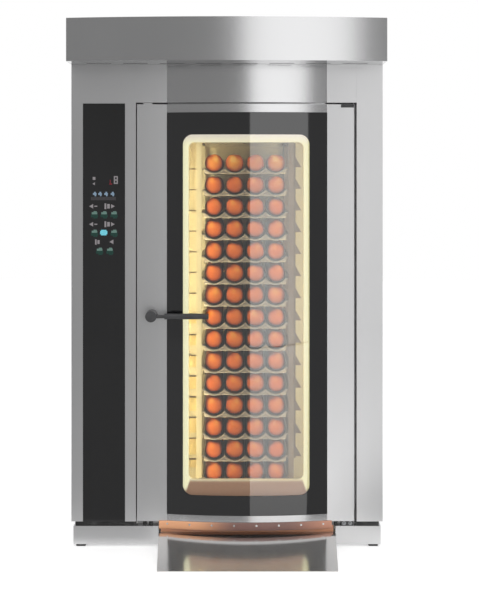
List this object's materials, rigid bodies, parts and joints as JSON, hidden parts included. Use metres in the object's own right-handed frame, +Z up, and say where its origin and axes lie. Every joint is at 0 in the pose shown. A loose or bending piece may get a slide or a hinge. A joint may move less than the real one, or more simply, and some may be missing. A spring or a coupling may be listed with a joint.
{
  "type": "rotating rack oven",
  "caption": "Tall bakery oven whose tray rack hangs from a turning, lifting spindle behind a bowed glass door, with overhanging steam hood and entry ramp.",
  "frame": {"origin": "middle of the bounding box at floor level, under the feet and the ramp", "axes": "+Z up, -Y towards the user standing at the door, +X to the user's right"},
  "size_m": [1.4, 1.772, 2.397],
  "materials": {
    "stainless": "satin",
    "polished_steel": "polished",
    "black_glass": "gloss",
    "door_glass": "gloss",
    "inner_glass": "gloss",
    "light_diffuser": "satin",
    "galvanised": "satin",
    "insulation": "matte",
    "heater_sheath": "matte",
    "drive_steel": "satin",
    "motor_paint": "satin",
    "caster_steel": "satin",
    "wheel_rubber": "matte",
    "tray_aluminium": "satin",
    "black_fittings": "satin"
  },
  "bodies": {
    "cabinet": {"base_frame": "stainless", "chamber_floor": "stainless", "side_panel_left": "stainless", "side_panel_right": "stainless", "front_column_left": "stainless", "front_column_right": "stainless", "front_header": "stainless", "rear_panel": "stainless", "hood_canopy": "stainless", "hood_intake": "stainless", "air_wall_left": "stainless", "air_wall_right": "stainless", "chamber_rear_wall": "stainless", "chamber_ceiling": "stainless", "entry_ramp": "polished_steel", "control_glass": "black_glass", "roof_panel": "galvanised", "vent_flue": "galvanised", "chamber_jacket": "insulation", "heater_bank": "heater_sheath", "drive_frame": "drive_steel", "fan_motor": "motor_paint", "hinge_top": "black_fittings", "hinge_bottom": "black_fittings"},
    "door": {"door_shell": "stainless", "door_back": "stainless", "door_glass": "door_glass", "door_light_frame": "light_diffuser", "door_inner_glass": "inner_glass"},
    "handle": {"door_handle": "black_fittings"},
    "carriage": {"lift_carriage": "drive_steel", "rack_gearmotor": "motor_paint"},
    "pinion": {"drive_pinion": "drive_steel"},
    "rack": {"rack_spindle": "drive_steel", "rack_frame": "stainless", "tray_01": "tray_aluminium", "tray_02": "tray_aluminium", "tray_03": "tray_aluminium", "tray_04": "tray_aluminium", "tray_05": "tray_aluminium", "tray_06": "tray_aluminium", "tray_07": "tray_aluminium", "tray_08": "tray_aluminium", "tray_09": "tray_aluminium", "tray_10": "tray_aluminium", "tray_11": "tray_aluminium", "tray_12": "tray_aluminium", "tray_13": "tray_aluminium", "tray_14": "tray_aluminium", "tray_15": "tray_aluminium"},
    "fork_left": {"caster_fork_left": "caster_steel"},
    "fork_right": {"caster_fork_right": "caster_steel"},
    "wheel_front_left": {"front_wheel_left": "wheel_rubber"},
    "wheel_front_right": {"front_wheel_right": "wheel_rubber"},
    "wheel_rear_left": {"rear_wheel_left": "wheel_rubber"},
    "wheel_rear_right": {"rear_wheel_right": "wheel_rubber"},
    "fan": {"fan_wheel": "galvanised"},
    "flap": {"vent_flap": "galvanised"}
  },
  "joints": [
    {"name": "door_hinge", "type": "hinge", "parent": "cabinet", "child": "door", "pos_m": [0.541, -0.509, 1], "axis": [0, 0, 1], "range_deg": [0, 110]},
    {"name": "handle_turn", "type": "hinge", "parent": "door", "child": "handle", "pos_m": [-0.337, -0.574, 1.044], "axis": [0, -1, 0], "range_deg": [0, 90]},
    {"name": "rack_lift", "type": "slide", "parent": "cabinet", "child": "carriage", "axis": [0, 0, 1], "range_m": [0, 0.025]},
    {"name": "rack_spin", "type": "hinge", "parent": "carriage", "child": "rack", "pos_m": [0.082, 0.0033, 2.1], "axis": [0, 0, 1], "continuous": true},
    {"name": "pinion_spin", "type": "hinge", "parent": "carriage", "child": "pinion", "pos_m": [-0.038, 0.0033, 2.23], "axis": [0, 0, 1], "continuous": true},
    {"name": "fan_spin", "type": "hinge", "parent": "cabinet", "child": "fan", "pos_m": [0.082, 0.566, 1.48], "axis": [0, 1, 0], "continuous": true},
    {"name": "vent_flap_turn", "type": "hinge", "parent": "cabinet", "child": "flap", "pos_m": [0.33, 0.346, 2.205], "axis": [1, 0, 0], "range_deg": [0, 90]},
    {"name": "caster_swivel_left", "type": "hinge", "parent": "rack", "child": "fork_left", "pos_m": [-0.108, -0.2647, 0.19], "axis": [0, 0, 1], "continuous": true},
    {"name": "front_wheel_roll_left", "type": "hinge", "parent": "fork_left", "child": "wheel_front_left", "pos_m": [-0.108, -0.2367, 0.1173], "axis": [1, 0, 0], "continuous": true},
    {"name": "rear_wheel_roll_left", "type": "hinge", "parent": "rack", "child": "wheel_rear_left", "pos_m": [-0.108, 0.2713, 0.1173], "axis": [1, 0, 0], "continuous": true},
    {"name": "caster_swivel_right", "type": "hinge", "parent": "rack", "child": "fork_right", "pos_m": [0.272, -0.2647, 0.19], "axis": [0, 0, 1], "continuous": true},
    {"name": "front_wheel_roll_right", "type": "hinge", "parent": "fork_right", "child": "wheel_front_right", "pos_m": [0.272, -0.2367, 0.1173], "axis": [1, 0, 0], "continuous": true},
    {"name": "rear_wheel_roll_right", "type": "hinge", "parent": "rack", "child": "wheel_rear_right", "pos_m": [0.272, 0.2713, 0.1173], "axis": [1, 0, 0], "continuous": true}
  ],
  "couplings": [
    {"joint": "pinion_spin", "follows": "rack_spin", "ratio": -3}
  ]
}
